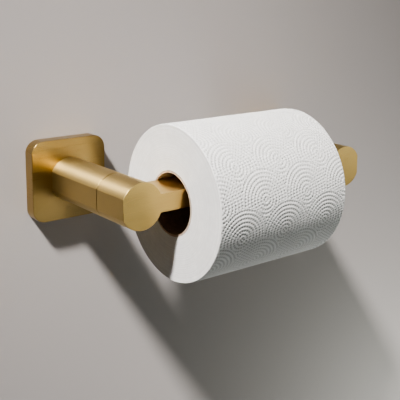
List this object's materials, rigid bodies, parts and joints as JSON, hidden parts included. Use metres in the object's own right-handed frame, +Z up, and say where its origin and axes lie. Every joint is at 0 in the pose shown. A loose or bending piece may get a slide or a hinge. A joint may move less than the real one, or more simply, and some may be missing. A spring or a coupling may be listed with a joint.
{
  "type": "toilet paper holder",
  "caption": "Wall-mounted double-post toilet paper holder with a flat bar that swings up from one post and rests on the other, carrying a roll of tissue.",
  "frame": {"origin": "on the wall's surface, midway between the two posts and level with their axes", "axes": "+X along the wall from the pivoting post to the resting post, +Y into the wall, +Z up"},
  "size_m": [0.227, 0.1603, 0.1],
  "materials": {
    "brass": "satin",
    "zinc": "matte",
    "steel": "satin",
    "nylon": "matte",
    "anchor_plastic": "matte",
    "rubber": "matte",
    "tissue": "matte",
    "cardboard": "matte"
  },
  "bodies": {
    "root": {"left_backplate": "brass", "left_wall_bracket": "zinc", "left_grub_screw": "steel", "left_wall_screw_upper": "steel", "left_wall_screw_lower": "steel", "left_wall_anchor_upper": "anchor_plastic", "left_wall_anchor_lower": "anchor_plastic", "left_post_screw_upper": "steel", "left_post_screw_lower": "steel", "left_post": "brass", "pivot_bush": "nylon", "right_backplate": "brass", "right_wall_bracket": "zinc", "right_grub_screw": "steel", "right_wall_screw_upper": "steel", "right_wall_screw_lower": "steel", "right_wall_anchor_upper": "anchor_plastic", "right_wall_anchor_lower": "anchor_plastic", "right_post_screw_upper": "steel", "right_post_screw_lower": "steel", "right_post": "brass", "right_head": "brass", "right_head_screw": "steel", "right_head_washer": "steel", "rest_pad": "rubber"},
    "arm": {"arm": "brass", "pivot_spindle": "steel", "pivot_wave_washer": "steel", "pivot_washer": "steel", "pivot_lock_nut": "steel", "stop_pin": "steel"},
    "roll": {"cardboard_core": "cardboard", "tissue_roll": "tissue"}
  },
  "joints": [
    {"name": "arm_pivot", "type": "hinge", "parent": "root", "child": "arm", "pos_m": [-0.0865, -0.0809, 0], "axis": [0, -1, 0], "range_deg": [0, 105]},
    {"name": "roll_spin", "type": "hinge", "parent": "arm", "child": "roll", "pos_m": [-0.0033, -0.0809, -0.00665], "axis": [1, 0, 0], "continuous": true}
  ]
}
